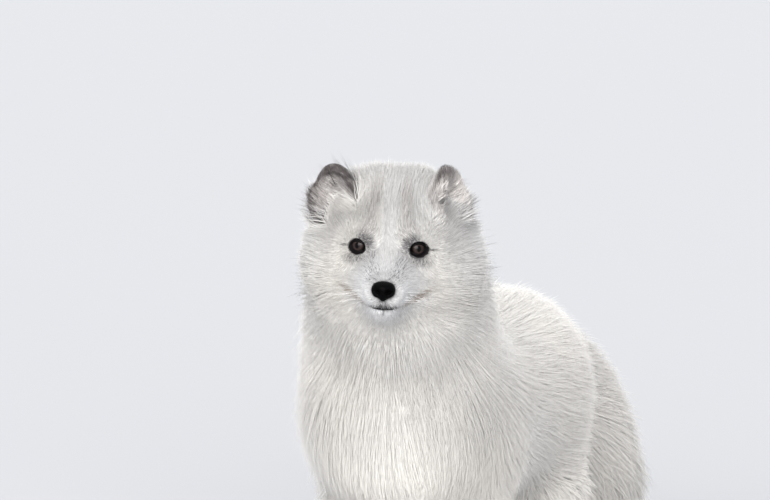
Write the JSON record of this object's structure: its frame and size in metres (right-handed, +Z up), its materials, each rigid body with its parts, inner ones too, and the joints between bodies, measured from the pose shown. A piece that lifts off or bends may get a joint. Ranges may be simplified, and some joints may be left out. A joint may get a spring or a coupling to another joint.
{
  "type": "arctic fox",
  "caption": "Adult arctic fox in full white winter coat, standing with its head raised, ears up and bushy tail low.",
  "frame": {"origin": "on the floor under the middle of the fox's box", "axes": "+Z up, the fox faces -Y, its left side is +X"},
  "size_m": [0.2078, 0.781, 0.4431],
  "materials": {
    "coat": "soft dense winter fur",
    "ear_coat": "short soft grey fur",
    "dark_skin": "moist fine-grained skin",
    "eye": "wet and glossy"
  },
  "bodies": {
    "root": {"trunk": "coat", "neck": "coat", "tail_base": "coat", "tail_brush": "coat", "upper_foreleg_left": "coat", "lower_foreleg_left": "coat", "forepaw_left": "coat", "thigh_left": "coat", "lower_hindleg_left": "coat", "hindpaw_left": "coat", "upper_foreleg_right": "coat", "lower_foreleg_right": "coat", "forepaw_right": "coat", "thigh_right": "coat", "lower_hindleg_right": "coat", "hindpaw_right": "coat", "head": "coat", "lower_jaw": "coat", "nose": "dark_skin", "eye_left": "eye", "ear_left": "ear_coat", "eye_right": "eye", "ear_right": "ear_coat"}
  },
  "joints": []
}
